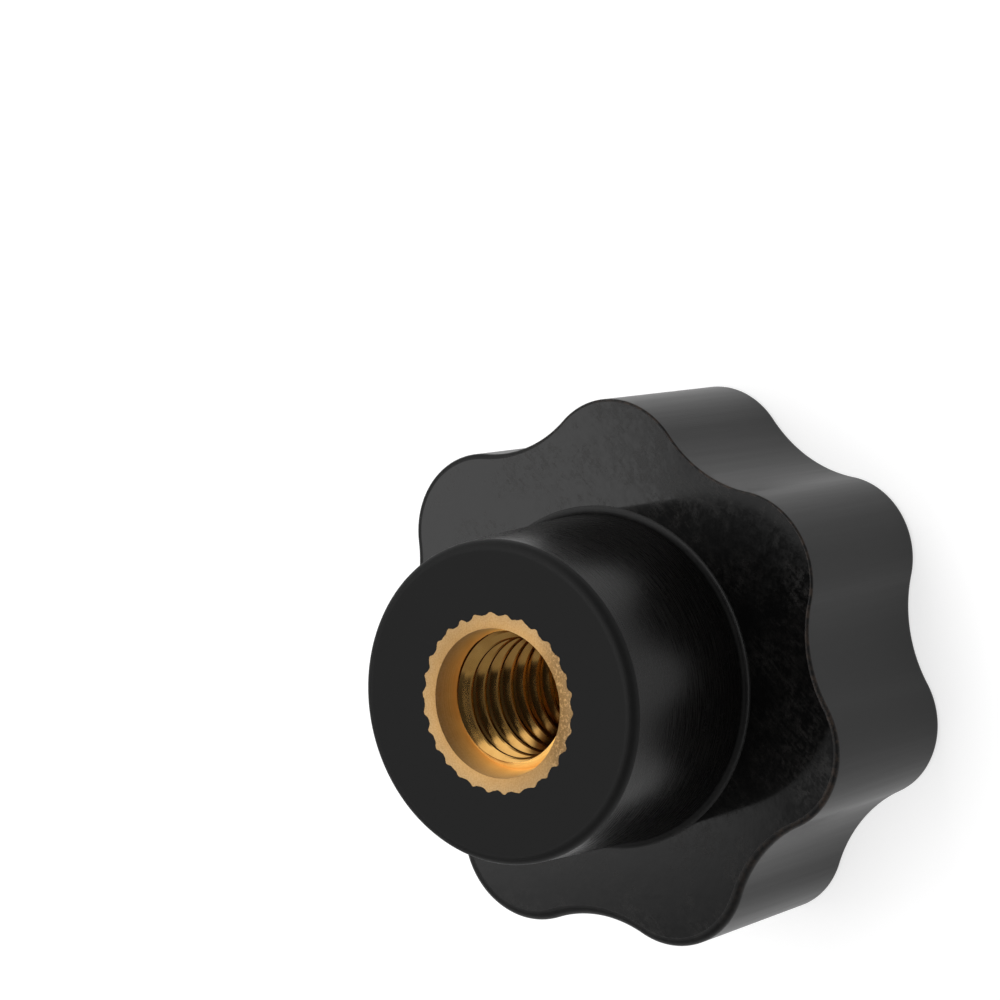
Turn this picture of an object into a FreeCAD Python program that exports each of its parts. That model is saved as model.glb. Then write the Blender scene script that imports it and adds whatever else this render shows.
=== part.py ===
import FreeCAD, Part
import math
import os

# Star knob for an M6 stud: a phenolic moulding round a knurled brass bush.
# It stands on the flat top of its head, hub upwards, and its thread runs along +Z.
# A lobe points along +X. Lengths are in millimetres and angles in degrees.

# Head: a drafted disc with seven lobes, flat on top and underneath
LOBE_COUNT = 7
LOBE_TIP_R = 12.15
FLUTE_DEPTH = 1.57
FLUTE_R = 5.83
HEAD_THICKNESS = 8.85
HEAD_DRAFT = 2.2
UNDERSIDE_RIM_ROUND = 0.25
TOP_RIM_ROUND = 0.30

# Hub: the round boss whose end face seats on the clamped part
HUB_FACE_R = 6.95
HUB_HEIGHT = 8.15
HUB_DRAFT = 1.5
HUB_EDGE_ROUND = 0.43
HUB_FOOT_ROUND = 0.30

# Thread and bore of the bush
THREAD_SIZE = 6.0
THREAD_HEIGHT = 0.48
MOUTH_STEP = 0.21
COUNTERBORE_DEPTH = 1.3

# Outside of the bush: a straight knurl, and a groove that locks it lengthways
BUSH_WALL = 0.69
KNURL_COUNT = 30
KNURL_DEPTH = 0.19
KNURL_FLUTE_R = 0.40
KNURL_TURN = 7.6
GROOVE_WIDTH = 2.0
GROOVE_DEPTH = 0.30

# Sizes that follow from those above
TOTAL_HEIGHT = HEAD_THICKNESS + HUB_HEIGHT
THREAD_MAJOR_R = THREAD_SIZE / 2
THREAD_MINOR_R = THREAD_MAJOR_R - THREAD_HEIGHT
MOUTH_R = THREAD_MAJOR_R + MOUTH_STEP
KNURL_ROOT_R = THREAD_MAJOR_R + BUSH_WALL
KNURL_TIP_R = KNURL_ROOT_R + KNURL_DEPTH

UP = FreeCAD.Vector(0, 0, 1)
# Two edges closer than this along an axis or a radius are at the same place
SAME_PLACE = 1e-4


def at(radius, angle, height):
    """The point at a radius and an angle in radians about the thread axis."""
    return FreeCAD.Vector(radius * math.cos(angle), radius * math.sin(angle), height)


def swept_strip(centre, angle, turn, foot_r, top_r, height):
    """The strip of cone or cylinder that a leaning line sweeps about an upright axis."""
    foot = centre + at(foot_r, angle, 0)
    line = Part.LineSegment(foot, centre + at(top_r, angle, height))
    return line.toShape().revolve(centre, UP, math.degrees(turn))


def is_level(edge, height):
    """Whether an edge lies level at a height."""
    box = edge.BoundBox
    return abs(box.ZMin - height) < SAME_PLACE and abs(box.ZMax - height) < SAME_PLACE


def lobed_bar(count, tip_r, root_r, flute_r, height, inset=0):
    """An upright bar of round noses and flutes, each tangent to the next, set in at its foot."""
    half_step = math.pi / count
    flute_centre_r = root_r + flute_r
    across = flute_centre_r * math.cos(half_step)
    nose_r = (tip_r**2 + flute_centre_r**2 - 2 * tip_r * across - flute_r**2) / (
        2 * (flute_r + tip_r - across)
    )
    nose_centre_r = tip_r - nose_r
    lean = math.atan2(flute_centre_r * math.sin(half_step), across - nose_centre_r)
    strips = []
    for k in range(count):
        outwards = 2 * k * half_step
        nose = at(nose_centre_r, outwards, 0)
        strips.append(swept_strip(nose, outwards - lean, 2 * lean, nose_r - inset, nose_r, height))
        flute = at(flute_centre_r, outwards + half_step, 0)
        start = outwards + lean + math.pi
        turn = 2 * (half_step - lean)
        strips.append(swept_strip(flute, start, turn, flute_r + inset, flute_r, height))
    ends = []
    for level in (0, height):
        rim = [edge for strip in strips for edge in strip.Edges if is_level(edge, level)]
        ends.append(Part.Face(Part.Wire(Part.__sortEdges__(rim))))
    shell = Part.makeShell(strips + ends)
    shell.sewShape()
    return Part.makeSolid(shell)


def head():
    """The lobed disc. The mould's draft makes its flat top smaller than its underside."""
    inset = HEAD_THICKNESS * math.tan(math.radians(HEAD_DRAFT))
    root_r = LOBE_TIP_R - FLUTE_DEPTH
    return lobed_bar(LOBE_COUNT, LOBE_TIP_R, root_r, FLUTE_R, HEAD_THICKNESS, inset)


def hub_foot_r():
    """The hub's radius where its drafted wall meets the head."""
    return HUB_FACE_R + HUB_HEIGHT * math.tan(math.radians(HUB_DRAFT))


def hub():
    """The drafted round boss, narrower at its end face."""
    foot = FreeCAD.Vector(0, 0, HEAD_THICKNESS)
    return Part.makeCone(hub_foot_r(), HUB_FACE_R, HUB_HEIGHT, foot, UP)


def level_edges(shape, height, inner_r, outer_r):
    """The edges that lie level at a height, between two distances from the axis."""
    found = []
    for edge in shape.Edges:
        middle = edge.valueAt((edge.FirstParameter + edge.LastParameter) / 2)
        if is_level(edge, height) and inner_r < math.hypot(middle.x, middle.y) < outer_r:
            found.append(edge)
    return found


def rounded_body():
    """The moulding before the bush: head and hub in one, with all edges rounded."""
    beyond = LOBE_TIP_R + SAME_PLACE
    shape = head().fuse(hub()).removeSplitter()
    shape = shape.makeFillet(
        UNDERSIDE_RIM_ROUND,
        level_edges(shape, HEAD_THICKNESS, hub_foot_r() + SAME_PLACE, beyond),
    )
    shape = shape.makeFillet(
        HUB_FOOT_ROUND,
        level_edges(shape, HEAD_THICKNESS, 0, hub_foot_r() + SAME_PLACE),
    )
    shape = shape.makeFillet(TOP_RIM_ROUND, level_edges(shape, 0, 0, beyond))
    return shape.makeFillet(HUB_EDGE_ROUND, level_edges(shape, TOTAL_HEIGHT, 0, beyond))


def knurled_bar():
    """The outside of the bush, from the head's top to the hub's face, with its locking groove."""
    bar = lobed_bar(KNURL_COUNT, KNURL_TIP_R, KNURL_ROOT_R, KNURL_FLUTE_R, TOTAL_HEIGHT)
    bar.rotate(FreeCAD.Vector(), UP, KNURL_TURN)
    groove_start = FreeCAD.Vector(0, 0, (TOTAL_HEIGHT - GROOVE_WIDTH) / 2)
    outside = Part.makeCylinder(2 * KNURL_TIP_R, GROOVE_WIDTH, groove_start, UP)
    neck = Part.makeCylinder(KNURL_ROOT_R - GROOVE_DEPTH, GROOVE_WIDTH, groove_start, UP)
    return bar.cut(outside.cut(neck))


def bore():
    """What is drilled out: a tapping hole right through, and a tapered counterbore at the hub."""
    tapping_hole = Part.makeCylinder(THREAD_MINOR_R, TOTAL_HEIGHT)
    shelf = FreeCAD.Vector(0, 0, TOTAL_HEIGHT - COUNTERBORE_DEPTH)
    counterbore = Part.makeCone(THREAD_MAJOR_R, MOUTH_R, COUNTERBORE_DEPTH, shelf, UP)
    return tapping_hole.fuse(counterbore)


def knob_body():
    """The moulding, with the pocket that it formed round the bush."""
    return rounded_body().cut(knurled_bar())


def threaded_insert():
    """The brass bush, bored to the thread's crests."""
    return knurled_bar().cut(bore())


os.makedirs("parts", exist_ok=True)
for name, make in (("knob_body", knob_body), ("threaded_insert", threaded_insert)):
    shape = make()
    print(name, "valid", shape.isValid(), "solids", len(shape.Solids), "volume", round(shape.Volume, 2))
    shape.exportStep("parts/" + name + ".step")
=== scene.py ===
import math

import bmesh
import bpy
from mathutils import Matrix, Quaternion, Vector


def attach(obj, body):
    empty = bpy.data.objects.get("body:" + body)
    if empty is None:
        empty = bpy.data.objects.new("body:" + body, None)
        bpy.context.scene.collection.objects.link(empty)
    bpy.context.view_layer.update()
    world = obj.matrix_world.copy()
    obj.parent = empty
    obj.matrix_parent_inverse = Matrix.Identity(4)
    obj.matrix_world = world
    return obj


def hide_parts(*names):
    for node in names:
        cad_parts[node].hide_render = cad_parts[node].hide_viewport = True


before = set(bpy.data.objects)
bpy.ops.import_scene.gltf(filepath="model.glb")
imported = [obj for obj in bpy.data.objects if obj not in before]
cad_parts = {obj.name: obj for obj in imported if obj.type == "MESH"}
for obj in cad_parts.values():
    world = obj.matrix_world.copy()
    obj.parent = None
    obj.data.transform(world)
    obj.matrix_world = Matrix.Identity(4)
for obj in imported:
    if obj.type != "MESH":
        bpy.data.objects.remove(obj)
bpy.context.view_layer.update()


# The moulding: black phenolic powder, pressed hot in a polished mould round the brass bush.
# Head, hub and the rounds between them are one piece. The mould's two halves meet at the rim
# under the head, where the flash was ground off, and the hub's end was faced flat.

# Sizes are in millimetres, here and below, and MM turns them to metres
MM = 0.001

LOBE_COUNT = 7
LOBE_TIP_R = 12.15
FLUTE_DEPTH = 1.57
FLUTE_R = 5.83
HEAD_THICKNESS = 8.85
HEAD_DRAFT = math.radians(2.2)
UNDERSIDE_RIM_ROUND = 0.25
TOP_RIM_ROUND = 0.30
HUB_FACE_R = 6.95
HUB_HEIGHT = 8.15
HUB_DRAFT = math.radians(1.5)
HUB_EDGE_ROUND = 0.43
HUB_FOOT_ROUND = 0.30
TOTAL_HEIGHT = HEAD_THICKNESS + HUB_HEIGHT

# The knurled pocket that the compound formed round the bush, with a ring in the bush's groove
KNURL_COUNT = 30
KNURL_TIP_R = 3.88
KNURL_DEPTH = 0.19
KNURL_FLUTE_R = 0.40
KNURL_TURN = math.radians(7.6)
GROOVE_WIDTH = 2.0
GROOVE_DEPTH = 0.30
KNURL_ROOT_R = KNURL_TIP_R - KNURL_DEPTH
GROOVE_R = KNURL_ROOT_R - GROOVE_DEPTH
GROOVE_START = (TOTAL_HEIGHT - GROOVE_WIDTH) / 2
GROOVE_END = GROOVE_START + GROOVE_WIDTH

# The knurl was rolled unevenly: how far apart the teeth that stand out most and least would be,
# and the share of its depth that the shallowest tooth keeps
TOOTH_UNEVENNESS = 0.22
SHALLOWEST_TOOTH = 0.35

# The flash under the head was ground off a little aslant: its round grows from one side of the
# rim to the other by this share either way, and is widest in this direction
RIM_SLANT = 0.7
RIM_WIDEST = math.radians(150)

# The side of the rim on which the flash was thickest
FLASH_SIDE = Vector((math.cos(math.radians(-60)), math.sin(math.radians(-60)), 0))

# One lobe's underside is scuffed: where, how far, how raggedly, and over what width the polish
# comes back
SCUFF_MIDDLE = Vector((7.6, -7.4, HEAD_THICKNESS)) * MM
SCUFF_R = 3.6 * MM
SCUFF_RAGGEDNESS = 4.0 * MM
SCUFF_EDGE = 1.5 * MM

# Colours of the compound as moulded, under dust and wax, at the flash line and where it was faced
JET_BLACK = "070707"
DUST_AND_WAX = "1a1918"
BROWN_FLASH = "30261f"
FACED_COMPOUND = "080808"

# Roughness of the head's walls, the flat under the head, the hub's wall, the ground rim and the
# faced end, and how much haze adds
WALL_ROUGHNESS = 0.36
POLISHED_ROUGHNESS = 0.05
HUB_ROUGHNESS = 0.21
GROUND_ROUGHNESS = 0.5
FACED_ROUGHNESS = 0.65
HAZE_ROUGHNESS = 0.12

# What a station of a section follows, and how its surface was finished: faced on a lathe, wiped
# with a cloth, drawn from the mould, turned in a cloth or on a lathe, or ground and worn
OUTLINE_MARKS = ("lobed", "knurled", "threaded", "ground")
FINISH_MARKS = ("faced", "wiped", "drawn", "turned", "worn")


def linear(colour):
    """A hex colour as four linear channels."""
    channels = []
    for start in (0, 2, 4):
        value = int(colour[start : start + 2], 16) / 255
        channels.append(value / 12.92 if value <= 0.04045 else ((value + 0.055) / 1.055) ** 2.4)
    return (*channels, 1.0)


def add(tree, kind, inputs=(), **settings):
    """Adds a node with its settings. An input takes a value, or a link from a node or socket."""
    node = tree.nodes.new(kind)
    for setting, value in settings.items():
        setattr(node, setting, value)
    shown = [socket for socket in node.inputs if socket.enabled]
    for place, value in dict(inputs).items():
        named = place if isinstance(place, int) else [socket.name for socket in shown].index(place)
        if isinstance(value, bpy.types.Node):
            value = next(socket for socket in value.outputs if socket.enabled)
        if isinstance(value, bpy.types.NodeSocket):
            tree.links.new(value, shown[named])
        else:
            shown[named].default_value = value
    return node


def stretch(points, **marks):
    """A stretch of a section: points as (radius, height), all with the same marks."""
    return [(point, marks) for point in points]


def arc(centre, radius, start, end, steps):
    """Points along an arc of a section, from one angle in degrees to another."""
    points = []
    for step in range(steps + 1):
        angle = math.radians(start + (end - start) * step / steps)
        points.append((centre[0] + radius * math.cos(angle), centre[1] + radius * math.sin(angle)))
    return points


def row_sizes(row, count, tip_r, root_r, flute_r, turn=0.0):
    """The named sizes of a row of round noses and flutes, each tangent to the next."""
    half_step = math.pi / count
    flute_centre_r = root_r + flute_r
    across = flute_centre_r * math.cos(half_step)
    nose_r = (tip_r**2 + flute_centre_r**2 - 2 * tip_r * across - flute_r**2) / (
        2 * (flute_r + tip_r - across)
    )
    return {
        row + " count": float(count),
        row + " nose centre": (tip_r - nose_r) * MM,
        row + " nose radius": nose_r * MM,
        row + " flute centre": flute_centre_r * MM,
        row + " flute radius": flute_r * MM,
        row + " turn": turn,
    }


def noses_and_flutes():
    """A node group that gives how far out a row of noses and flutes reaches at an angle."""
    tree = bpy.data.node_groups.new("noses and flutes", "GeometryNodeTree")
    for name in ("Angle", "Count", "Nose centre", "Nose radius", "Flute centre", "Flute radius"):
        tree.interface.new_socket(name, in_out="INPUT", socket_type="NodeSocketFloat")
    tree.interface.new_socket("Inset", in_out="INPUT", socket_type="NodeSocketFloat")
    tree.interface.new_socket("Reach", in_out="OUTPUT", socket_type="NodeSocketFloat")
    given = tree.nodes.new("NodeGroupInput").outputs
    math_node = "ShaderNodeMath"
    half_step = add(tree, math_node, {0: math.pi, 1: given["Count"]}, operation="DIVIDE")
    turn = add(tree, math_node, {0: half_step, 1: 2.0}, operation="MULTIPLY")
    wrapped = add(tree, math_node, {0: given["Angle"], 1: turn}, operation="FLOORED_MODULO")
    from_tip = add(tree, math_node, {0: wrapped, 1: half_step}, operation="PINGPONG")
    from_root = add(tree, math_node, {0: half_step, 1: from_tip}, operation="SUBTRACT")
    inset = given["Inset"]
    nose_r = add(tree, math_node, {0: given["Nose radius"], 1: inset}, operation="SUBTRACT")
    flute_r = add(tree, math_node, {0: given["Flute radius"], 1: inset}, operation="ADD")
    reach = {}
    for part, angle, centre, radius, side in (
        ("nose", from_tip, given["Nose centre"], nose_r, "ADD"),
        ("flute", from_root, given["Flute centre"], flute_r, "SUBTRACT"),
    ):
        cosine = add(tree, math_node, {0: angle}, operation="COSINE")
        along = add(tree, math_node, {0: centre, 1: cosine}, operation="MULTIPLY")
        sine = add(tree, math_node, {0: angle}, operation="SINE")
        aside = add(tree, math_node, {0: centre, 1: sine}, operation="MULTIPLY")
        aside_squared = add(tree, math_node, {0: aside, 1: aside}, operation="MULTIPLY")
        radius_squared = add(tree, math_node, {0: radius, 1: radius}, operation="MULTIPLY")
        rest = add(tree, math_node, {0: radius_squared, 1: aside_squared}, operation="SUBTRACT")
        half_chord = add(tree, math_node, {0: rest}, operation="SQRT")
        reach[part] = add(tree, math_node, {0: along, 1: half_chord}, operation=side)
    # The point where the two arcs touch lies between their centres, a nose radius along
    centres_apart = add(tree, math_node, {0: nose_r, 1: flute_r}, operation="ADD")
    share = add(tree, math_node, {0: nose_r, 1: centres_apart}, operation="DIVIDE")
    step_cosine = add(tree, math_node, {0: half_step}, operation="COSINE")
    step_sine = add(tree, math_node, {0: half_step}, operation="SINE")
    flute_at = given["Flute centre"]
    nose_at = given["Nose centre"]
    flute_x = add(tree, math_node, {0: flute_at, 1: step_cosine}, operation="MULTIPLY")
    flute_y = add(tree, math_node, {0: flute_at, 1: step_sine}, operation="MULTIPLY")
    onward = add(tree, math_node, {0: flute_x, 1: nose_at}, operation="SUBTRACT")
    touch_x = add(tree, math_node, {0: onward, 1: share, 2: nose_at}, operation="MULTIPLY_ADD")
    touch_y = add(tree, math_node, {0: flute_y, 1: share}, operation="MULTIPLY")
    touch = add(tree, math_node, {0: touch_y, 1: touch_x}, operation="ARCTAN2")
    on_nose = add(tree, math_node, {0: from_tip, 1: touch}, operation="LESS_THAN")
    either = add(
        tree,
        "GeometryNodeSwitch",
        {"Switch": on_nose, "False": reach["flute"], "True": reach["nose"]},
        input_type="FLOAT",
    )
    add(tree, "NodeGroupOutput", {"Reach": either})
    return tree


def section_wrapping():
    """The tree that wraps a drawn section round the thread axis, column by column.

    A lobed or knurled station's radius is its reach at a tip, and the outline brings it in from
    there. A threaded station climbs a pitch in one turn and stops at the thread's two ends."""
    tree = bpy.data.node_groups.new("section wrapped round the thread axis", "GeometryNodeTree")
    tree.interface.new_socket("Section", in_out="INPUT", socket_type="NodeSocketGeometry")
    tree.interface.new_socket("Columns", in_out="INPUT", socket_type="NodeSocketInt")
    row_parts = ("count", "nose centre", "nose radius", "flute centre", "flute radius", "turn")
    sizes = [f"{row} {part}" for row in ("Lobe", "Tooth") for part in row_parts]
    sizes += ["Rim radius", "Rim height", "Rim slant", "Rim widest"]
    sizes += ["Tooth unevenness", "Shallowest tooth"]
    sizes += ["Thread pitch", "Thread start", "Thread end"]
    sizes += ["Thread crest radius", "Thread root radius", "Thread crest width", "Thread rounding"]
    for name in sizes:
        tree.interface.new_socket(name, in_out="INPUT", socket_type="NodeSocketFloat")
    tree.interface.new_socket("Finish", in_out="INPUT", socket_type="NodeSocketMaterial")
    tree.interface.new_socket("Piece", in_out="OUTPUT", socket_type="NodeSocketGeometry")
    given = tree.nodes.new("NodeGroupInput").outputs
    math_node = "ShaderNodeMath"

    # A flat grid with a column for each step round the axis and a row for each station
    section = given["Section"]
    stations = add(tree, "GeometryNodeAttributeDomainSize", {"Geometry": section})
    rows = add(tree, math_node, {0: stations.outputs["Point Count"], 1: 1.0}, operation="SUBTRACT")
    columns = add(tree, math_node, {0: given["Columns"], 1: 1.0}, operation="ADD")
    grid = add(
        tree,
        "GeometryNodeMeshGrid",
        {
            "Size X": given["Columns"],
            "Size Y": rows,
            "Vertices X": columns,
            "Vertices Y": stations.outputs["Point Count"],
        },
    )
    place = add(tree, "ShaderNodeSeparateXYZ", {0: tree.nodes.new("GeometryNodeInputPosition")})
    column = add(
        tree,
        math_node,
        {0: given["Columns"], 1: 0.5, 2: place.outputs["X"]},
        operation="MULTIPLY_ADD",
    )
    around = add(tree, math_node, {0: column, 1: given["Columns"]}, operation="DIVIDE")
    angle = add(tree, math_node, {0: around, 1: math.tau}, operation="MULTIPLY")
    row = add(tree, math_node, {0: rows, 1: 0.5, 2: place.outputs["Y"]}, operation="MULTIPLY_ADD")
    station = add(tree, "FunctionNodeFloatToInt", {0: row}, rounding_mode="ROUND")

    def marked(mark):
        """What the section's stations say under a mark."""
        named = add(tree, "GeometryNodeInputNamedAttribute", {"Name": mark}, data_type="FLOAT")
        return add(
            tree,
            "GeometryNodeSampleIndex",
            {"Geometry": section, "Value": named, "Index": station},
            data_type="FLOAT",
        )

    drawn_at = tree.nodes.new("GeometryNodeInputPosition")
    at_station = add(
        tree,
        "GeometryNodeSampleIndex",
        {"Geometry": section, "Value": drawn_at, "Index": station},
        data_type="FLOAT_VECTOR",
    )
    section_point = add(tree, "ShaderNodeSeparateXYZ", {0: at_station})

    # The ground rim: its stations draw in towards the sharp corner, or out from it, by direction
    from_widest = add(tree, math_node, {0: angle, 1: given["Rim widest"]}, operation="SUBTRACT")
    slant = add(tree, math_node, {0: from_widest}, operation="COSINE")
    slant = add(tree, math_node, {0: slant, 1: given["Rim slant"]}, operation="MULTIPLY")
    ground = marked("ground")
    spread = add(tree, math_node, {0: slant, 1: ground, 2: 1.0}, operation="MULTIPLY_ADD")
    eased = {}
    for side, corner in (("X", given["Rim radius"]), ("Z", given["Rim height"])):
        from_corner = add(
            tree, math_node, {0: section_point.outputs[side], 1: corner}, operation="SUBTRACT"
        )
        eased[side] = add(
            tree, math_node, {0: from_corner, 1: spread, 2: corner}, operation="MULTIPLY_ADD"
        )
    radius = eased["X"]
    height = eased["Z"]

    # The two rows of noses and flutes, with the knurl's teeth rolled unevenly: they stand out or
    # in a little, and some are shallower than others
    cosine = add(tree, math_node, {0: angle}, operation="COSINE")
    sine = add(tree, math_node, {0: angle}, operation="SINE")
    direction = add(tree, "ShaderNodeCombineXYZ", {"X": cosine, "Y": sine})
    waver = add(
        tree,
        "ShaderNodeTexNoise",
        {"Vector": direction, "Scale": 5.0, "Detail": 4.0, "Roughness": 0.8},
    )
    either_way = add(tree, math_node, {0: waver, 1: 0.5}, operation="SUBTRACT")
    uneven = add(
        tree, math_node, {0: either_way, 1: given["Tooth unevenness"]}, operation="MULTIPLY"
    )
    aside = add(tree, "ShaderNodeVectorMath", {0: direction, 1: (0.0, 0.0, 5.0)}, operation="ADD")
    depth = add(
        tree,
        "ShaderNodeTexNoise",
        {"Vector": aside, "Scale": 4.0, "Detail": 2.0, "Roughness": 0.6},
    )
    rolled = add(
        tree,
        "ShaderNodeMapRange",
        {
            "Value": depth,
            "From Min": 0.3,
            "From Max": 0.7,
            "To Min": given["Shallowest tooth"],
            "To Max": 1.0,
        },
    )
    group = noses_and_flutes()
    for mark, name in (("lobed", "Lobe"), ("knurled", "Tooth")):
        tip = add(
            tree,
            math_node,
            {0: given[name + " nose centre"], 1: given[name + " nose radius"]},
            operation="ADD",
        )
        inset = add(tree, math_node, {0: tip, 1: eased["X"]}, operation="SUBTRACT")
        turned = add(tree, math_node, {0: angle, 1: given[name + " turn"]}, operation="SUBTRACT")
        reach = add(tree, "GeometryNodeGroup", node_tree=group)
        for socket, source in (
            ("Angle", turned.outputs[0]),
            ("Count", given[name + " count"]),
            ("Nose centre", given[name + " nose centre"]),
            ("Nose radius", given[name + " nose radius"]),
            ("Flute centre", given[name + " flute centre"]),
            ("Flute radius", given[name + " flute radius"]),
            ("Inset", inset.outputs[0]),
        ):
            tree.links.new(source, reach.inputs[socket])
        if mark == "knurled":
            sunk = add(tree, math_node, {0: reach, 1: tip}, operation="SUBTRACT")
            reach = add(tree, math_node, {0: sunk, 1: rolled, 2: tip}, operation="MULTIPLY_ADD")
            reach = add(tree, math_node, {0: reach, 1: uneven}, operation="ADD")
        outline = {"Factor": marked(mark), "A": radius, "B": reach}
        radius = add(tree, "ShaderNodeMix", outline, data_type="FLOAT")

    # The helix: the height that a station has climbed, and the thread's profile there
    climb = add(tree, math_node, {0: around, 1: given["Thread pitch"]}, operation="MULTIPLY")
    climbed = add(tree, math_node, {0: section_point.outputs["Z"], 1: climb}, operation="ADD")
    thread_height = add(
        tree,
        "ShaderNodeClamp",
        {"Value": climbed, "Min": given["Thread start"], "Max": given["Thread end"]},
    )
    phase = add(tree, math_node, {0: thread_height, 1: climb}, operation="SUBTRACT")
    half_pitch = add(tree, math_node, {0: given["Thread pitch"], 1: 0.5}, operation="MULTIPLY")
    from_crest = add(tree, math_node, {0: phase, 1: half_pitch}, operation="PINGPONG")
    crest_width = given["Thread crest width"]
    half_crest = add(tree, math_node, {0: crest_width, 1: 0.5}, operation="MULTIPLY")
    past_crest = add(tree, math_node, {0: from_crest, 1: half_crest}, operation="SUBTRACT")
    flank_slope = math.tan(math.radians(60))
    crest_r = given["Thread crest radius"]
    root_r = given["Thread root radius"]
    rounding = given["Thread rounding"]
    flank = {0: past_crest, 1: flank_slope, 2: crest_r}
    flank = add(tree, math_node, flank, operation="MULTIPLY_ADD")
    to_root = add(tree, math_node, {0: flank, 1: root_r, 2: rounding}, operation="SMOOTH_MIN")
    profile = add(tree, math_node, {0: to_root, 1: crest_r, 2: rounding}, operation="SMOOTH_MAX")
    threaded = marked("threaded")
    on_thread = {"Factor": threaded, "A": radius, "B": profile}
    radius = add(tree, "ShaderNodeMix", on_thread, data_type="FLOAT")
    on_thread = {"Factor": threaded, "A": height, "B": thread_height}
    height = add(tree, "ShaderNodeMix", on_thread, data_type="FLOAT")

    # The finish marks go on first, because they too are looked up by place in the flat grid
    surface = grid
    for mark in FINISH_MARKS:
        surface = add(
            tree,
            "GeometryNodeStoreNamedAttribute",
            {"Geometry": surface, "Name": mark, "Value": marked(mark)},
            data_type="FLOAT",
            domain="POINT",
        )
    across = add(tree, "ShaderNodeVectorMath", {0: direction, "Scale": radius}, operation="SCALE")
    upwards = add(tree, "ShaderNodeCombineXYZ", {"Z": height})
    wrapped = add(tree, "ShaderNodeVectorMath", {0: across, 1: upwards}, operation="ADD")
    surface = add(tree, "GeometryNodeSetPosition", {"Geometry": surface, "Position": wrapped})
    seam = 0.0005 * MM
    surface = add(tree, "GeometryNodeMergeByDistance", {"Geometry": surface, "Distance": seam})
    sharp_angle = math.radians(62)
    edge_angle = tree.nodes.new("GeometryNodeInputMeshEdgeAngle")
    sharp = add(
        tree,
        "FunctionNodeCompare",
        {"A": edge_angle.outputs["Unsigned Angle"], "B": sharp_angle},
        data_type="FLOAT",
        operation="GREATER_THAN",
    )
    surface = add(
        tree,
        "GeometryNodeSetShadeSmooth",
        {"Geometry": surface, "Selection": sharp, "Shade Smooth": False},
        domain="EDGE",
    )
    surface = add(tree, "GeometryNodeRealizeInstances", {"Geometry": surface})
    finished = {"Geometry": surface, "Material": given["Finish"]}
    surface = add(tree, "GeometryNodeSetMaterial", finished)
    add(tree, "NodeGroupOutput", {"Piece": surface})
    return tree


def wrapped_piece(name, stations, inputs):
    """Draws a section, wraps it round the axis and keeps the result as a plain closed mesh."""
    mesh = bpy.data.meshes.new(name + " section")
    mesh.from_pydata([(r * MM, 0, z * MM) for (r, z), marks in stations], [], [])
    for mark in OUTLINE_MARKS + FINISH_MARKS:
        values = [float(marks.get(mark, 0)) for point, marks in stations]
        mesh.attributes.new(mark, "FLOAT", "POINT").data.foreach_set("value", values)
    piece = bpy.data.objects.new(name, mesh)
    bpy.context.scene.collection.objects.link(piece)
    modifier = piece.modifiers.new("wrapping", "NODES")
    modifier.node_group = WRAPPING
    for item in WRAPPING.interface.items_tree:
        if item.name in inputs:
            modifier[item.identifier] = inputs[item.name]
    finished = piece.evaluated_get(bpy.context.evaluated_depsgraph_get())
    piece_mesh = bpy.data.meshes.new_from_object(finished)
    piece.modifiers.remove(modifier)
    piece.data = piece_mesh
    shell = bmesh.new()
    shell.from_mesh(piece_mesh)
    bmesh.ops.recalc_face_normals(shell, faces=shell.faces)
    shell.to_mesh(piece_mesh)
    shell.free()
    return piece


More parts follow.
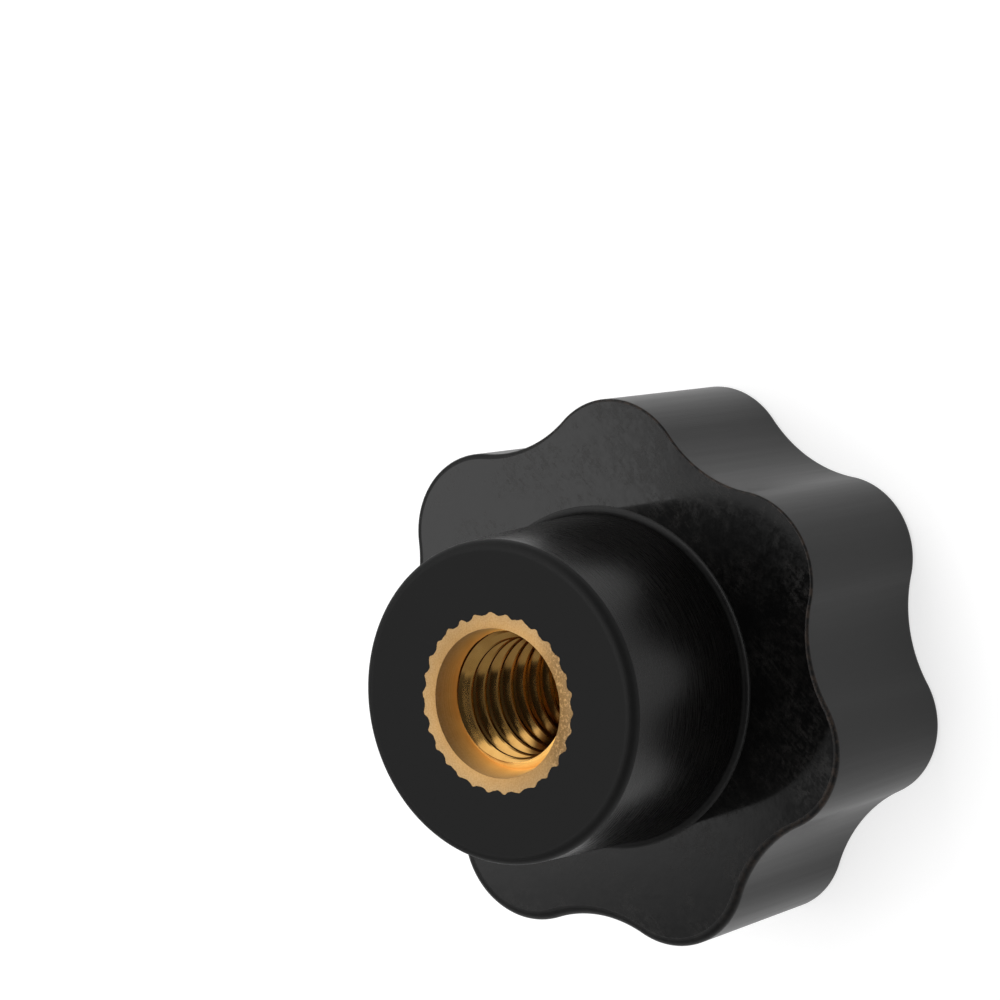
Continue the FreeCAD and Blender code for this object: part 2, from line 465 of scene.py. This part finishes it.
def moulding_section():
    """The moulding's section through a lobe's tip, from the pocket at the head's top and round."""
    head_lean = math.tan(HEAD_DRAFT)
    hub_lean = math.tan(HUB_DRAFT)

    def head_wall(height):
        return LOBE_TIP_R - (HEAD_THICKNESS - height) * head_lean

    def hub_wall(height):
        return HUB_FACE_R + (TOTAL_HEIGHT - height) * hub_lean

    # Beside each round, a flat or wall starts this far on, so that it keeps its own shade
    beside = 0.04
    draft = math.degrees(HEAD_DRAFT)
    hub_draft = math.degrees(HUB_DRAFT)
    top_z = TOP_RIM_ROUND
    top_r = head_wall(top_z) - TOP_RIM_ROUND / math.cos(HEAD_DRAFT)
    rim_z = HEAD_THICKNESS - UNDERSIDE_RIM_ROUND
    rim_r = head_wall(rim_z) - UNDERSIDE_RIM_ROUND / math.cos(HEAD_DRAFT)
    foot_z = HEAD_THICKNESS + HUB_FOOT_ROUND
    foot_r = hub_wall(foot_z) + HUB_FOOT_ROUND / math.cos(HUB_DRAFT)
    edge_z = TOTAL_HEIGHT - HUB_EDGE_ROUND
    edge_r = hub_wall(edge_z) - HUB_EDGE_ROUND / math.cos(HUB_DRAFT)
    stations = stretch([(KNURL_TIP_R, 0)], knurled=1)
    stations += stretch([(top_r - beside, 0)], lobed=1)
    stations += stretch(arc((top_r, top_z), TOP_RIM_ROUND, -90, -draft, 6), lobed=1)
    low_z = top_z + beside
    # Clear of the widest that the ground rim gets
    high_z = HEAD_THICKNESS - 2 * UNDERSIDE_RIM_ROUND
    middle_z = (low_z + high_z) / 2
    wall = [(head_wall(z), z) for z in (low_z, middle_z, high_z)]
    stations += stretch(wall, lobed=1, drawn=1)
    rim = {"lobed": 1, "ground": 1}
    stations += stretch([(head_wall(rim_z - beside), rim_z - beside)], **rim)
    stations += stretch(arc((rim_r, rim_z), UNDERSIDE_RIM_ROUND, -draft, 90, 8), **rim, worn=1)
    stations += stretch([(rim_r - beside, HEAD_THICKNESS)], **rim, wiped=1)
    near_foot = [(foot_r + 3 * beside, HEAD_THICKNESS), (foot_r + beside, HEAD_THICKNESS)]
    stations += stretch(near_foot, wiped=1)
    stations += stretch(arc((foot_r, foot_z), HUB_FOOT_ROUND, 270, 180 + hub_draft, 8))
    wall = [(hub_wall(z), z) for z in (foot_z + beside, edge_z - beside)]
    stations += stretch(wall, turned=1)
    stations += stretch(arc((edge_r, edge_z), HUB_EDGE_ROUND, hub_draft, 90, 8), faced=0.8)
    stations += stretch([(edge_r - beside, TOTAL_HEIGHT)], faced=1)
    upper_pocket = [(KNURL_TIP_R, TOTAL_HEIGHT), (KNURL_TIP_R, GROOVE_END)]
    stations += stretch(upper_pocket, knurled=1, faced=1)
    stations += stretch([(GROOVE_R, GROOVE_END), (GROOVE_R, GROOVE_START)])
    stations += stretch([(KNURL_TIP_R, GROOVE_START), (KNURL_TIP_R, 0)], knurled=1)
    return stations


def black_phenolic():
    """Gloss black phenolic as it left a polished mould, handled and wiped since.

    To the eye it is a soft mirror over black: its brightness is what it reflects, under a thin
    haze of dust and wax that shows where it reflects nothing."""
    material = bpy.data.materials.new("compression_moulded_phenolic")
    material.use_nodes = True
    tree = material.node_tree
    tree.nodes.clear()
    math_node = "ShaderNodeMath"
    noise_node = "ShaderNodeTexNoise"
    range_node = "ShaderNodeMapRange"
    place = add(tree, "ShaderNodeTexCoord").outputs["Object"]
    finish = {
        mark: add(tree, "ShaderNodeAttribute", attribute_name=mark).outputs["Fac"]
        for mark in FINISH_MARKS
    }

    # Round the hub: streaks 0.07 mm high and 1.5 mm long, from turning the knob in a cloth
    sides = add(tree, "ShaderNodeSeparateXYZ", {0: place})
    x, y, z = sides.outputs
    angle = add(tree, math_node, {0: y, 1: x}, operation="ARCTAN2")
    turned_place = add(tree, "ShaderNodeCombineXYZ", {"X": angle, "Y": z})
    streak_pace = (HUB_FACE_R / 1.5, 1 / (0.07 * MM), 1.0)
    turned_place = add(tree, "ShaderNodeMapping", {"Vector": turned_place, "Scale": streak_pace})
    streaks = add(
        tree, noise_node, {"Vector": turned_place, "Scale": 1.0, "Detail": 3.0, "Roughness": 0.6}
    )
    # Down the head's walls: the mould's polishing waves, 0.9 mm apart and as long as the wall
    draw_pace = (1 / (0.9 * MM), 1 / (0.9 * MM), 1 / (30 * MM))
    drawn_place = add(tree, "ShaderNodeMapping", {"Vector": place, "Scale": draw_pace})
    draw_marks = add(
        tree, noise_node, {"Vector": drawn_place, "Scale": 1.0, "Detail": 2.0, "Roughness": 0.5}
    )
    # On the flat under the head: wipes 0.12 mm apart and 1 mm long, all one way
    wipe_pace = (1 / (0.12 * MM), 1 / (1 * MM), 1 / (1 * MM))
    wiped_place = add(
        tree, "ShaderNodeMapping", {"Vector": place, "Rotation": (0, 0, math.radians(40))}
    )
    wiped_place = add(tree, "ShaderNodeMapping", {"Vector": wiped_place, "Scale": wipe_pace})
    wipes = add(
        tree, noise_node, {"Vector": wiped_place, "Scale": 1.0, "Detail": 3.0, "Roughness": 0.65}
    )
    # Grain of dust, 0.3 mm, in patches 2.5 mm across
    grain = {"Vector": place, "Scale": 1 / (0.3 * MM), "Detail": 5.0, "Roughness": 0.7}
    grain = add(tree, noise_node, grain)
    patches = {"Vector": place, "Scale": 1 / (2.5 * MM), "Detail": 3.0, "Roughness": 0.6}
    patches = add(tree, noise_node, patches)
    dusty = add(tree, range_node, {"Value": patches, "From Min": 0.38, "From Max": 0.62})
    # One lobe's underside is scuffed, and its polish comes back raggedly
    from_scuff = add(
        tree, "ShaderNodeVectorMath", {0: place, 1: SCUFF_MIDDLE}, operation="DISTANCE"
    )
    ragged = add(
        tree,
        math_node,
        {0: grain, 1: -SCUFF_RAGGEDNESS, 2: from_scuff.outputs["Value"]},
        operation="MULTIPLY_ADD",
    )
    scuff_middle = SCUFF_R - SCUFF_RAGGEDNESS / 2
    scuffed = add(
        tree,
        range_node,
        {
            "Value": ragged,
            "From Min": scuff_middle + SCUFF_EDGE / 2,
            "From Max": scuff_middle - SCUFF_EDGE / 2,
        },
    )
    scuffed = add(tree, math_node, {0: scuffed, 1: finish["wiped"]}, operation="MULTIPLY")
    texture = add(tree, math_node, {0: wipes, 1: 0.5, 2: 0.25}, operation="MULTIPLY_ADD")
    texture = add(tree, math_node, {0: grain, 1: texture}, operation="MULTIPLY")
    haze = add(tree, range_node, {"Value": texture, "From Min": 0.2, "From Max": 0.36})
    haze = add(tree, math_node, {0: haze, 1: dusty}, operation="MULTIPLY")
    # The walls are clean
    haze = {"Factor": finish["drawn"], "A": haze, "B": 0.0}
    haze = add(tree, "ShaderNodeMix", haze, data_type="FLOAT")
    streaky = add(
        tree,
        range_node,
        {"Value": streaks, "From Min": 0.35, "From Max": 0.7, "To Min": 0.15, "To Max": 1.0},
    )
    streaky = add(tree, math_node, {0: streaky, 1: finish["turned"]}, operation="MULTIPLY")
    haze = add(tree, math_node, {0: haze, 1: streaky}, operation="MAXIMUM")

    # The ground flash is brown where it was thickest, on one side of the rim
    from_thickest = add(
        tree, "ShaderNodeVectorMath", {0: place, 1: FLASH_SIDE}, operation="DOT_PRODUCT"
    )
    brown = add(
        tree,
        range_node,
        {
            "Value": from_thickest.outputs["Value"],
            "From Min": 0,
            "From Max": 0.6 * LOBE_TIP_R * MM,
            "To Max": 0.8,
        },
    )
    flecks = add(tree, range_node, {"Value": grain, "From Min": 0.45, "From Max": 0.6})
    brown = add(tree, math_node, {0: brown, 1: flecks}, operation="MULTIPLY")
    brown = add(tree, math_node, {0: brown, 1: finish["worn"]}, operation="MULTIPLY")

    # Under the haze the compound is jet black, and it is dull where it was ground or faced
    colour = linear(JET_BLACK)
    for share, own in (
        (haze, DUST_AND_WAX),
        (brown, BROWN_FLASH),
        (finish["faced"], FACED_COMPOUND),
    ):
        mixed = {"Factor": share, "A": colour, "B": linear(own)}
        colour = add(tree, "ShaderNodeMix", mixed, data_type="RGBA")
    # The flat under the head keeps the mould's polish best, the walls lost some as they were drawn
    # from the mould, and the scuffs come and go with the grain
    scuffing = add(
        tree,
        range_node,
        {"Value": grain, "From Min": 0.4, "From Max": 0.7, "To Min": 0.14, "To Max": 0.26},
    )
    hazed = add(tree, range_node, {"Value": haze, "To Max": HAZE_ROUGHNESS})
    roughness = WALL_ROUGHNESS
    for share, own in (
        (finish["wiped"], POLISHED_ROUGHNESS),
        (finish["turned"], HUB_ROUGHNESS),
        (None, hazed),
        (scuffed, scuffing),
        (finish["worn"], GROUND_ROUGHNESS),
        (finish["faced"], FACED_ROUGHNESS),
    ):
        if share is None:
            roughness = add(tree, math_node, {0: roughness, 1: own}, operation="ADD")
        else:
            mixed = {"Factor": share, "A": roughness, "B": own}
            roughness = add(tree, "ShaderNodeMix", mixed, data_type="FLOAT")
    # The polish rises and falls a little over 1.5 mm, which makes the edges in it ragged
    swell = {"Vector": place, "Scale": 1 / (1.5 * MM), "Detail": 5.0, "Roughness": 0.6}
    swell = add(tree, noise_node, swell)
    bump = add(tree, "ShaderNodeBump", {"Strength": 0.5, "Distance": 0.0025 * MM, "Height": swell})
    bump = add(
        tree,
        "ShaderNodeBump",
        {"Strength": finish["drawn"], "Distance": 0.03 * MM, "Height": draw_marks, "Normal": bump},
    )
    shader = add(
        tree,
        "ShaderNodeBsdfPrincipled",
        {"Base Color": colour, "Roughness": roughness, "Normal": bump, "IOR": 1.5},
    )
    shader.inputs["Specular IOR Level"].default_value = 0.18
    add(tree, "ShaderNodeOutputMaterial", {"Surface": shader})
    return material


WRAPPING = section_wrapping()
COLUMNS_A_LOBE = 120
knurl_sizes = row_sizes("Tooth", KNURL_COUNT, KNURL_TIP_R, KNURL_ROOT_R, KNURL_FLUTE_R, KNURL_TURN)
knurl_sizes["Tooth unevenness"] = TOOTH_UNEVENNESS * MM
knurl_sizes["Shallowest tooth"] = SHALLOWEST_TOOTH
moulding_inputs = {
    "Columns": COLUMNS_A_LOBE * LOBE_COUNT,
    "Finish": black_phenolic(),
    "Rim radius": LOBE_TIP_R * MM,
    "Rim height": HEAD_THICKNESS * MM,
    "Rim slant": RIM_SLANT,
    "Rim widest": RIM_WIDEST,
}
moulding_inputs.update(knurl_sizes)
moulding_inputs.update(
    row_sizes("Lobe", LOBE_COUNT, LOBE_TIP_R, LOBE_TIP_R - FLUTE_DEPTH, FLUTE_R)
)
moulding = wrapped_piece("phenolic_moulding", moulding_section(), moulding_inputs)
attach(moulding, "root")
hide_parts("knob_body")


# The bush: free-machining brass bar with a straight knurl rolled on it, which grips the
# moulding. It was moulded in, faced flush with the hub, counterbored at the mouth and tapped
# M6 right through.
THREAD_PITCH = 1.0
THREAD_MINOR_R = 2.52
THREAD_MAJOR_R = 3.0
THREAD_CREST_WIDTH = 0.16
THREAD_ROUNDING = 0.14
MOUTH_R = 3.21
COUNTERBORE_DEPTH = 1.3
# The side of the mouth that is nicked
NICKED_SIDE = Vector((math.cos(math.radians(-85)), math.sin(math.radians(-85)), 0))

# A pale and a deep colour for each finish, which it is mottled between: the thread, darker and
# browner than brass as painted shade and bounce light in the bore, the counterbore, brighter and
# more golden as painted bounce light, the dull faced end and the dark nicks
THREAD_BRASS_SHADE_AND_BOUNCE = ("be9658", "9c743c")
COUNTERBORE_BRASS_PAINTED_BOUNCE = ("ffc66a", "f0b054")
DULL_BRASS = ("a08e76", "80705a")
NICKED_BRASS = ("54391f", "21160d")
# Brass seen at a slant keeps its gold
SLANTED_GOLD = "d0a060"
# The tap burnished the thread, and the turned and faced surfaces are matt
THREAD_ROUGHNESS = 0.16
MATT_ROUGHNESS = 0.75


def bush_section():
    """The bush's section: end face, thread, counterbore, end face, and the knurl down again."""
    thread_end = TOTAL_HEIGHT - COUNTERBORE_DEPTH
    # Stations across one pitch, measured from the middle of a crest. They start a turn below the
    # thread, because each climbs a pitch on its way round
    pitch_shares = (0, 0.07, 0.12, 0.18, 0.27, 0.38, 0.50, 0.62, 0.73, 0.82, 0.88, 0.93)
    last_turn = math.ceil(thread_end / THREAD_PITCH)
    turns = range(-1, last_turn)
    heights = [(turn + share) * THREAD_PITCH for turn in turns for share in pitch_shares]
    heights.append(last_turn * THREAD_PITCH)
    stations = stretch([(KNURL_TIP_R, 0)], knurled=1, faced=1)
    stations += stretch([(THREAD_MAJOR_R, z) for z in heights], threaded=1)
    # The counterbore's cone, with a station just above its shelf so that it keeps its own shade
    rise = 0.04
    above_shelf = THREAD_MAJOR_R + (MOUTH_R - THREAD_MAJOR_R) * rise / COUNTERBORE_DEPTH
    shelf = [(THREAD_MAJOR_R, thread_end), (above_shelf, thread_end + rise)]
    stations += stretch(shelf + [(MOUTH_R, TOTAL_HEIGHT)], turned=1)
    stations += stretch([(MOUTH_R, TOTAL_HEIGHT)], faced=1)
    stations += stretch([(KNURL_TIP_R, TOTAL_HEIGHT)], knurled=1, faced=1)
    stations += stretch([(KNURL_TIP_R, TOTAL_HEIGHT), (KNURL_TIP_R, GROOVE_END)], knurled=1)
    stations += stretch([(GROOVE_R, GROOVE_END), (GROOVE_R, GROOVE_START)])
    stations += stretch([(KNURL_TIP_R, GROOVE_START), (KNURL_TIP_R, 0)], knurled=1)
    return stations


def turned_brass():
    """Free-machining brass, faced, bored and tapped: pale gold, brushed round by the tool.

    The turning marks run round the axis, so a highlight is drawn out across them."""
    material = bpy.data.materials.new("turned_and_tapped_brass")
    material.use_nodes = True
    tree = material.node_tree
    tree.nodes.clear()
    noise_node = "ShaderNodeTexNoise"
    place = add(tree, "ShaderNodeTexCoord").outputs["Object"]
    faced = add(tree, "ShaderNodeAttribute", attribute_name="faced").outputs["Fac"]
    turned = add(tree, "ShaderNodeAttribute", attribute_name="turned").outputs["Fac"]
    sides = add(tree, "ShaderNodeSeparateXYZ", {0: place})
    away = add(tree, "ShaderNodeCombineXYZ", {"X": sides.outputs["X"], "Y": sides.outputs["Y"]})
    radius = add(tree, "ShaderNodeVectorMath", {0: away}, operation="LENGTH").outputs["Value"]
    around = add(
        tree, "ShaderNodeVectorMath", {0: away, 1: (0.0, 0.0, 1.0)}, operation="CROSS_PRODUCT"
    )

    # Turning marks 0.1 mm apart, which keep their height and radius all the way round
    marks_place = add(tree, "ShaderNodeCombineXYZ", {"X": radius, "Y": sides.outputs["Z"]})
    turning_marks = add(
        tree,
        noise_node,
        {"Vector": marks_place, "Scale": 1 / (0.1 * MM), "Detail": 3.0},
    )
    tarnish = add(tree, noise_node, {"Vector": place, "Scale": 1 / (0.6 * MM), "Detail": 4.0})
    # Facing grit of 0.07 mm, and nicks of 0.13 mm where a stud went in aslant against one side
    grit = add(tree, noise_node, {"Vector": place, "Scale": 1 / (0.07 * MM), "Detail": 2.0})
    grit = add(tree, "ShaderNodeMapRange", {"Value": grit, "From Min": 0.35, "From Max": 0.65})
    nicks = add(
        tree,
        noise_node,
        {"Vector": place, "Scale": 1 / (0.13 * MM), "Detail": 3.0, "Roughness": 0.7},
    )
    nicks = add(tree, "ShaderNodeMapRange", {"Value": nicks, "From Min": 0.38, "From Max": 0.48})
    aslant = add(tree, "ShaderNodeVectorMath", {0: away, 1: NICKED_SIDE}, operation="DOT_PRODUCT")
    nicked = add(
        tree,
        "ShaderNodeMapRange",
        {
            "Value": aslant.outputs["Value"],
            "From Min": 0.65 * MOUTH_R * MM,
            "From Max": 0.95 * MOUTH_R * MM,
        },
    )
    nicked = add(tree, "ShaderNodeMath", {0: nicked, 1: nicks}, operation="MULTIPLY")
    nicked = add(tree, "ShaderNodeMath", {0: nicked, 1: faced}, operation="MULTIPLY")
    colour = None
    for share, texture, (pale, deep) in (
        # The thread's colour is darker and browner than brass: painted shade and bounce light in
        # the bore
        (None, tarnish, THREAD_BRASS_SHADE_AND_BOUNCE),
        # The counterbore's colour is brighter and more golden than brass: painted bounce light in
        # the mouth
        (turned, tarnish, COUNTERBORE_BRASS_PAINTED_BOUNCE),
        (faced, grit, DULL_BRASS),
        (nicked, grit, NICKED_BRASS),
    ):
        mottled = {"Factor": texture, "A": linear(pale), "B": linear(deep)}
        own = add(tree, "ShaderNodeMix", mottled, data_type="RGBA")
        if share is None:
            colour = own
        else:
            mixed = {"Factor": share, "A": colour, "B": own}
            colour = add(tree, "ShaderNodeMix", mixed, data_type="RGBA")
    roughness = THREAD_ROUGHNESS
    for share in (turned, faced):
        mixed = {"Factor": share, "A": roughness, "B": MATT_ROUGHNESS}
        roughness = add(tree, "ShaderNodeMix", mixed, data_type="FLOAT")
    # The counterbore was turned coarsely, and the thread's flanks only bear the tap's drag
    coarse = add(tree, "ShaderNodeMix", {"Factor": turned, "A": 0.04, "B": 1.0}, data_type="FLOAT")
    bump = add(
        tree,
        "ShaderNodeBump",
        {"Strength": coarse, "Distance": 0.02 * MM, "Height": turning_marks},
    )
    shader = add(
        tree,
        "ShaderNodeBsdfPrincipled",
        {
            "Base Color": colour,
            "Metallic": 1.0,
            "Roughness": roughness,
            "Tangent": around,
            "Normal": bump,
        },
    )
    shader.inputs["Specular Tint"].default_value = linear(SLANTED_GOLD)
    shader.inputs["Anisotropic"].default_value = 0.8
    shader.inputs["Anisotropic Rotation"].default_value = 0.25
    add(tree, "ShaderNodeOutputMaterial", {"Surface": shader})
    return material


COLUMNS_A_TOOTH = 12
bush_inputs = {
    "Columns": COLUMNS_A_TOOTH * KNURL_COUNT,
    "Finish": turned_brass(),
    "Thread pitch": THREAD_PITCH * MM,
    "Thread start": 0.0,
    "Thread end": (TOTAL_HEIGHT - COUNTERBORE_DEPTH) * MM,
    "Thread crest radius": THREAD_MINOR_R * MM,
    "Thread root radius": THREAD_MAJOR_R * MM,
    "Thread crest width": THREAD_CREST_WIDTH * MM,
    "Thread rounding": THREAD_ROUNDING * MM,
}
bush_inputs.update(knurl_sizes)
bush = wrapped_piece("brass_bush", bush_section(), bush_inputs)
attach(bush, "root")
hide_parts("threaded_insert")


# The floor: a plain white sheet. The camera and mirror-like surfaces see it lit from within,
# and the rest of its brightness is light that falls on it, so the knob's shadow stays.
FLOOR_SIZE = 4000.0
# It lies this far under the knob, so that the two never share a plane
FLOOR_GAP = 0.01
BORE_SHADE_R = 3.3
FLOOR_GLOW = 0.72
FLOOR_GREY = 0.4


def white_sheet():
    """A matt white sheet. It is unlit where the knob's bore stands over it."""
    material = bpy.data.materials.new("matt_white_sheet")
    material.use_nodes = True
    tree = material.node_tree
    tree.nodes.clear()
    math_node = "ShaderNodeMath"
    seen = add(tree, "ShaderNodeLightPath").outputs
    either = add(
        tree, math_node, {0: seen["Is Camera Ray"], 1: seen["Is Glossy Ray"]}, operation="MAXIMUM"
    )
    direct = add(tree, math_node, {0: either, 1: seen["Is Transmission Ray"]}, operation="MAXIMUM")
    place = add(tree, "ShaderNodeTexCoord").outputs["Object"]
    away = add(tree, "ShaderNodeVectorMath", {0: place}, operation="LENGTH").outputs["Value"]
    clear = add(tree, math_node, {0: away, 1: BORE_SHADE_R * MM}, operation="GREATER_THAN")
    glow = add(tree, math_node, {0: direct, 1: clear}, operation="MULTIPLY")
    strength = add(tree, math_node, {0: glow, 1: FLOOR_GLOW}, operation="MULTIPLY")
    light = add(tree, "ShaderNodeEmission", {"Color": linear("ffffff"), "Strength": strength})
    grey = (FLOOR_GREY, FLOOR_GREY, FLOOR_GREY, 1.0)
    sheet = add(tree, "ShaderNodeBsdfDiffuse", {"Color": grey})
    both = add(tree, "ShaderNodeAddShader", {0: light, 1: sheet})
    add(tree, "ShaderNodeOutputMaterial", {"Surface": both})
    return material


floor_mesh = bpy.data.meshes.new("floor")
half = FLOOR_SIZE / 2 * MM
below = -FLOOR_GAP * MM
corners = [(-half, -half, below), (half, -half, below), (half, half, below), (-half, half, below)]
floor_mesh.from_pydata(corners, [], [(0, 1, 2, 3)])
floor_mesh.materials.append(white_sheet())
floor = bpy.data.objects.new("floor", floor_mesh)
bpy.context.scene.collection.objects.link(floor)


# The camera: a long lens that looks down past the hub on to the underside of the head.
AIM = Vector((7.36, 4.82, 10.36)) * MM
DISTANCE = 305.0 * MM
AZIMUTH = math.radians(-73.862)
ELEVATION = math.radians(54.217)
ROLL = math.radians(-101.217)
LENS = 254.08

towards_camera = Vector(
    (
        math.cos(ELEVATION) * math.cos(AZIMUTH),
        math.cos(ELEVATION) * math.sin(AZIMUTH),
        math.sin(ELEVATION),
    )
)
camera_data = bpy.data.cameras.new("camera")
camera_data.sensor_width = 36.0
camera_data.lens = LENS
camera_data.clip_start = 0.01
camera = bpy.data.objects.new("camera", camera_data)
camera.location = AIM + DISTANCE * towards_camera
camera.rotation_mode = "QUATERNION"
camera.rotation_quaternion = towards_camera.to_track_quat("Z", "Y") @ Quaternion((0, 0, 1), ROLL)
bpy.context.scene.collection.objects.link(camera)
bpy.context.scene.camera = camera


# The light: a dim white tent all round. On the camera's side black cloth closes it above a low
# grey sheet, with a brighter sheet to the right. Behind the knob a softbox hangs under a bright
# ceiling, and one more sheet lies right overhead.

# Each sheet is a rectangle of azimuths and elevations in degrees: where its middle lies, how far
# it reaches either way and how far its edge is blurred. A later sheet covers an earlier one.
TENT_STRENGTH = 0.45
SHEETS = {
    "black cloth": {"azimuth": (-61, 64, 2), "elevation": (20, 55, 2), "strength": 0.03},
    "front sheet": {"azimuth": (-61, 64, 2), "elevation": (0, 42, 4), "strength": 0.4},
    "bounce sheet": {"azimuth": (33, 29.5, 2), "elevation": (41, 26, 3), "strength": 1.9},
    "ceiling": {"azimuth": (85, 88, 3), "elevation": (75, 13, 1), "strength": 3.5},
    "softbox": {"azimuth": (86.8, 24.3, 3), "elevation": (47.95, 7.75, 0.15), "strength": 4.0},
    "overhead": {"azimuth": (0, 200, 1), "elevation": (90, 13, 2), "strength": 4.0},
}


def light_tent():
    """The tent and its sheets, as brightness by direction."""
    world = bpy.data.worlds.new("light_tent")
    world.use_nodes = True
    tree = world.node_tree
    tree.nodes.clear()
    math_node = "ShaderNodeMath"
    seen = add(tree, "ShaderNodeLightPath").outputs
    direction = add(tree, "ShaderNodeTexCoord").outputs["Generated"]
    sides = add(tree, "ShaderNodeSeparateXYZ", {0: direction})
    angles = {
        "azimuth": add(
            tree, math_node, {0: sides.outputs["Y"], 1: sides.outputs["X"]}, operation="ARCTAN2"
        ),
        "elevation": add(tree, math_node, {0: sides.outputs["Z"]}, operation="ARCSINE"),
    }
    brightness = TENT_STRENGTH
    for sheet in SHEETS.values():
        inside = 1.0
        for name, angle in angles.items():
            middle, reach, blur = sheet[name]
            off = add(tree, math_node, {0: angle, 1: math.radians(middle)}, operation="SUBTRACT")
            off = add(tree, math_node, {0: off, 1: -math.pi, 2: math.pi}, operation="WRAP")
            off = add(tree, math_node, {0: off}, operation="ABSOLUTE")
            edge = {
                "Value": off,
                "From Min": math.radians(reach - blur),
                "From Max": math.radians(reach + blur),
                "To Min": 1.0,
                "To Max": 0.0,
            }
            within = add(tree, "ShaderNodeMapRange", edge, interpolation_type="SMOOTHSTEP")
            inside = add(tree, math_node, {0: inside, 1: within}, operation="MULTIPLY")
        brightness = add(
            tree,
            "ShaderNodeMix",
            {"Factor": inside, "A": brightness, "B": sheet["strength"]},
            data_type="FLOAT",
        )
    strength = add(
        tree, math_node, {0: brightness, 1: seen["Is Camera Ray"]}, operation="MAXIMUM"
    )
    light = add(tree, "ShaderNodeBackground", {"Color": linear("ffffff"), "Strength": strength})
    add(tree, "ShaderNodeOutputWorld", {"Surface": light})
    return world


bpy.context.scene.world = light_tent()
bpy.context.scene.view_settings.view_transform = "Standard"
